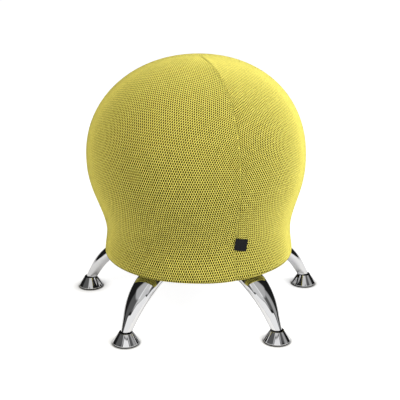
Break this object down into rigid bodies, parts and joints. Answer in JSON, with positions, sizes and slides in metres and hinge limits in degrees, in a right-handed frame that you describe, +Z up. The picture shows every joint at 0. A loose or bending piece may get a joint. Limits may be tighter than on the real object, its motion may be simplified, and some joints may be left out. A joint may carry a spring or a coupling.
{
  "type": "balance stool",
  "caption": "Balance stool: an inflated ball in a drawn-in mesh cover, held in a dish on curved chromed legs with self-levelling cone feet.",
  "frame": {"origin": "on the floor, under the middle of the footprint; the stool's own axis stands 26 mm in front of it", "axes": "+Z up, -Y is the front that faces the viewer, with a leg on each side of it; +X is the viewer's right"},
  "size_m": [0.5816, 0.556, 0.5785],
  "materials": {
    "chrome": "polished chrome plate",
    "zinc_steel": "zinc plated",
    "black_steel": "black powder coat",
    "black_nylon": "moulded nylon",
    "pad_rubber": "matte",
    "dish_plastic": "fine moulded grain",
    "ball_vinyl": "soft vinyl",
    "hem_elastic": "covered elastic cord",
    "mesh_fabric": "open spacer mesh",
    "woven_label": "plain weave, blank"
  },
  "bodies": {
    "base": {"leg_1": "chrome", "leg_2": "chrome", "leg_3": "chrome", "leg_4": "chrome", "leg_5": "chrome", "foot_stud_1": "zinc_steel", "foot_stud_2": "zinc_steel", "foot_stud_3": "zinc_steel", "foot_stud_4": "zinc_steel", "foot_stud_5": "zinc_steel", "cup_screw_1": "zinc_steel", "cup_screw_2": "zinc_steel", "cup_screw_3": "zinc_steel", "leg_bolt_1_1": "zinc_steel", "leg_bolt_1_2": "zinc_steel", "leg_bolt_2_1": "zinc_steel", "leg_bolt_2_2": "zinc_steel", "leg_bolt_3_1": "zinc_steel", "leg_bolt_3_2": "zinc_steel", "leg_bolt_4_1": "zinc_steel", "leg_bolt_4_2": "zinc_steel", "leg_bolt_5_1": "zinc_steel", "leg_bolt_5_2": "zinc_steel", "top_spider": "black_steel", "hub_plate": "black_steel", "hem_hoop": "black_steel", "air_plug": "black_nylon", "leg_plug_1": "black_nylon", "leg_plug_2": "black_nylon", "leg_plug_3": "black_nylon", "leg_plug_4": "black_nylon", "leg_plug_5": "black_nylon", "ball_cup": "dish_plastic", "hem_elastic": "hem_elastic"},
    "seat": {"ball": "ball_vinyl", "cover_gore_1": "mesh_fabric", "cover_gore_2": "mesh_fabric", "cover_gore_3": "mesh_fabric", "side_label": "woven_label"},
    "foot_1": {"foot_cap_1": "chrome", "foot_socket_1": "black_nylon", "foot_pad_1": "pad_rubber"},
    "foot_2": {"foot_cap_2": "chrome", "foot_socket_2": "black_nylon", "foot_pad_2": "pad_rubber"},
    "foot_3": {"foot_cap_3": "chrome", "foot_socket_3": "black_nylon", "foot_pad_3": "pad_rubber"},
    "foot_4": {"foot_cap_4": "chrome", "foot_socket_4": "black_nylon", "foot_pad_4": "pad_rubber"},
    "foot_5": {"foot_cap_5": "chrome", "foot_socket_5": "black_nylon", "foot_pad_5": "pad_rubber"}
  },
  "joints": [
    {"name": "seat_bounce", "type": "slide", "parent": "base", "child": "seat", "axis": [0, 0, 1], "range_m": [-0.04, 0], "stiffness_N_per_m": 16000, "springref_m": 0.004, "deforming": ["ball", "cover_gore_1", "cover_gore_2", "cover_gore_3", "side_label"]},
    {"name": "foot_1_tilt", "type": "hinge", "parent": "base", "child": "foot_1", "pos_m": [0.16164, -0.24874, 0.011], "axis": [0.809, 0.5878, 0], "range_deg": [-5, 5]},
    {"name": "foot_2_tilt", "type": "hinge", "parent": "base", "child": "foot_2", "pos_m": [0.26154, 0.05872, 0.011], "axis": [-0.309, 0.9511, 0], "range_deg": [-5, 5]},
    {"name": "foot_3_tilt", "type": "hinge", "parent": "base", "child": "foot_3", "pos_m": [0, 0.24874, 0.011], "axis": [-1, 0, 0], "range_deg": [-5, 5]},
    {"name": "foot_4_tilt", "type": "hinge", "parent": "base", "child": "foot_4", "pos_m": [-0.26154, 0.05872, 0.011], "axis": [-0.309, -0.9511, 0], "range_deg": [-5, 5]},
    {"name": "foot_5_tilt", "type": "hinge", "parent": "base", "child": "foot_5", "pos_m": [-0.16164, -0.24874, 0.011], "axis": [0.809, -0.5878, 0], "range_deg": [-5, 5]}
  ]
}
